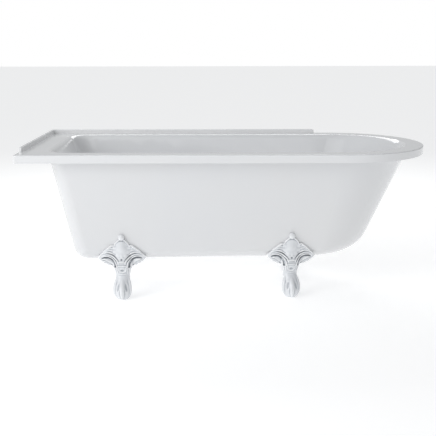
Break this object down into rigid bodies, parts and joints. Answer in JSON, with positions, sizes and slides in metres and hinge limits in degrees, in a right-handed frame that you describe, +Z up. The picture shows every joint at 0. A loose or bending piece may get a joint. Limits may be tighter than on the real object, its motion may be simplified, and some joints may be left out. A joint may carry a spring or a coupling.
{
  "type": "freestanding bathtub",
  "caption": "Double-skinned shower bath with one square and one round end, tiling upstand, click waste with overflow, on ornate claw-and-ball feet.",
  "frame": {"origin": "on the floor, under the middle of the bath's length and width", "axes": "+X from the square end to the round end, -Y to the front, +Y to the wall with the tiling upstand, +Z up"},
  "size_m": [1.7, 0.75, 0.648],
  "materials": {
    "acrylic": "gloss",
    "acrylic_skirt": "gloss",
    "upstand": "gloss",
    "timber": "matte",
    "board": "matte",
    "foot_casting": "gloss",
    "pad_rubber": "matte",
    "seal_rubber": "matte",
    "zinc_steel": "satin",
    "brass": "satin",
    "chrome": "polished",
    "white_plastic": "satin",
    "hose_plastic": "satin"
  },
  "bodies": {
    "bath": {"inner_shell": "acrylic", "outer_skirt": "acrylic_skirt", "rim_batten_front": "timber", "rim_batten_rear": "timber", "rim_batten_left": "timber", "rim_batten_curved": "timber", "upstand_back": "upstand", "upstand_end": "upstand", "base_board": "board", "leg_block_front_left": "timber", "foot_front_left": "foot_casting", "leg_block_front_right": "timber", "foot_front_right": "foot_casting", "leg_block_rear_left": "timber", "foot_rear_left": "foot_casting", "leg_block_rear_right": "timber", "foot_rear_right": "foot_casting", "foot_gaskets": "seal_rubber", "foot_bolts": "zinc_steel", "foot_washers": "zinc_steel", "foot_inserts": "brass", "leveller_lock_nuts": "zinc_steel", "waste_flange": "chrome", "waste_top_seal": "seal_rubber", "waste_upper_seal": "seal_rubber", "waste_body": "white_plastic", "waste_lower_seal": "seal_rubber", "waste_backnut": "white_plastic", "plug_cartridge": "brass", "overflow_rose": "chrome", "overflow_screw": "chrome", "overflow_seal": "seal_rubber", "overflow_elbow": "white_plastic", "overflow_hose": "hose_plastic", "hose_clamps": "zinc_steel"},
    "plug": {"plug_cap": "chrome", "plug_seal": "seal_rubber"},
    "pad_front_left": {"leveller_pad_front_left": "pad_rubber"},
    "stud_front_left": {"leveller_stud_front_left": "zinc_steel"},
    "pad_front_right": {"leveller_pad_front_right": "pad_rubber"},
    "stud_front_right": {"leveller_stud_front_right": "zinc_steel"},
    "pad_rear_left": {"leveller_pad_rear_left": "pad_rubber"},
    "stud_rear_left": {"leveller_stud_rear_left": "zinc_steel"},
    "pad_rear_right": {"leveller_pad_rear_right": "pad_rubber"},
    "stud_rear_right": {"leveller_stud_rear_right": "zinc_steel"}
  },
  "joints": [
    {"name": "plug_lift", "type": "slide", "parent": "bath", "child": "plug", "axis": [0, 0, 1], "range_m": [0, 0.009]},
    {"name": "leveller_front_left", "type": "slide", "parent": "bath", "child": "pad_front_left", "axis": [0, 0, -1], "range_m": [0, 0.012]},
    {"name": "stud_turn_front_left", "type": "hinge", "parent": "pad_front_left", "child": "stud_front_left", "pos_m": [-0.446, -0.26271, 0], "axis": [0, 0, 1], "range_deg": [0, 2880]},
    {"name": "leveller_front_right", "type": "slide", "parent": "bath", "child": "pad_front_right", "axis": [0, 0, -1], "range_m": [0, 0.012]},
    {"name": "stud_turn_front_right", "type": "hinge", "parent": "pad_front_right", "child": "stud_front_right", "pos_m": [0.267, -0.23455, 0], "axis": [0, 0, 1], "range_deg": [0, 2880]},
    {"name": "leveller_rear_left", "type": "slide", "parent": "bath", "child": "pad_rear_left", "axis": [0, 0, -1], "range_m": [0, 0.012]},
    {"name": "stud_turn_rear_left", "type": "hinge", "parent": "pad_rear_left", "child": "stud_rear_left", "pos_m": [-0.482, 0.26413, 0], "axis": [0, 0, 1], "range_deg": [0, 2880]},
    {"name": "leveller_rear_right", "type": "slide", "parent": "bath", "child": "pad_rear_right", "axis": [0, 0, -1], "range_m": [0, 0.012]},
    {"name": "stud_turn_rear_right", "type": "hinge", "parent": "pad_rear_right", "child": "stud_rear_right", "pos_m": [0.303, 0.23313, 0], "axis": [0, 0, 1], "range_deg": [0, 2880]}
  ],
  "couplings": [
    {"joint": "stud_turn_front_left", "follows": "leveller_front_left", "rad_per_m": 4188.8},
    {"joint": "stud_turn_front_right", "follows": "leveller_front_right", "rad_per_m": 4188.8},
    {"joint": "stud_turn_rear_left", "follows": "leveller_rear_left", "rad_per_m": 4188.8},
    {"joint": "stud_turn_rear_right", "follows": "leveller_rear_right", "rad_per_m": 4188.8}
  ]
}
